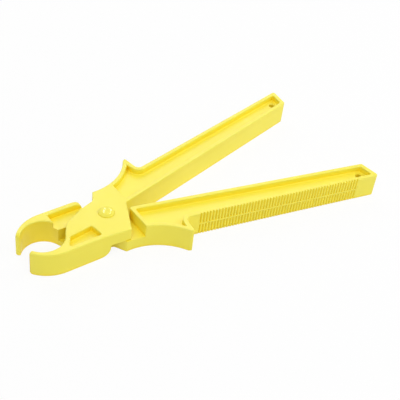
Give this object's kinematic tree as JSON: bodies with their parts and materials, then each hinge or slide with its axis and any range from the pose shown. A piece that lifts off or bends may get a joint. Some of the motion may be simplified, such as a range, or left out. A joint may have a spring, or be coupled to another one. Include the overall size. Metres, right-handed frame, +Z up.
{
  "type": "fuse puller",
  "caption": "Plier-type moulded plastic puller for cartridge fuses: crossed levers on a rivet pin, with rounded jaws, finger guards and ribbed handles.",
  "frame": {"origin": "on the pivot axis, at the flat underside that lies on the table", "axes": "+X from the pivot along the middle line between the handles, jaws towards -X; +Y towards the upper lever's handle; +Z up along the pivot axis"},
  "size_m": [0.1867, 0.0886, 0.0148],
  "materials": {
    "upper_lever": "satin moulded, bright yellow",
    "lower_lever": "satin moulded, bright yellow",
    "pivot_pin": "smooth moulded, bright yellow"
  },
  "bodies": {
    "lower_lever": {"lower_lever": "lower_lever", "pivot_pin": "pivot_pin"},
    "upper_lever": {"upper_lever": "upper_lever"}
  },
  "joints": [
    {"name": "jaw_pivot", "type": "hinge", "parent": "lower_lever", "child": "upper_lever", "pos_m": [0, 0, 0.0068], "axis": [0, 0, 1], "range_deg": [-13.5, 24]}
  ]
}
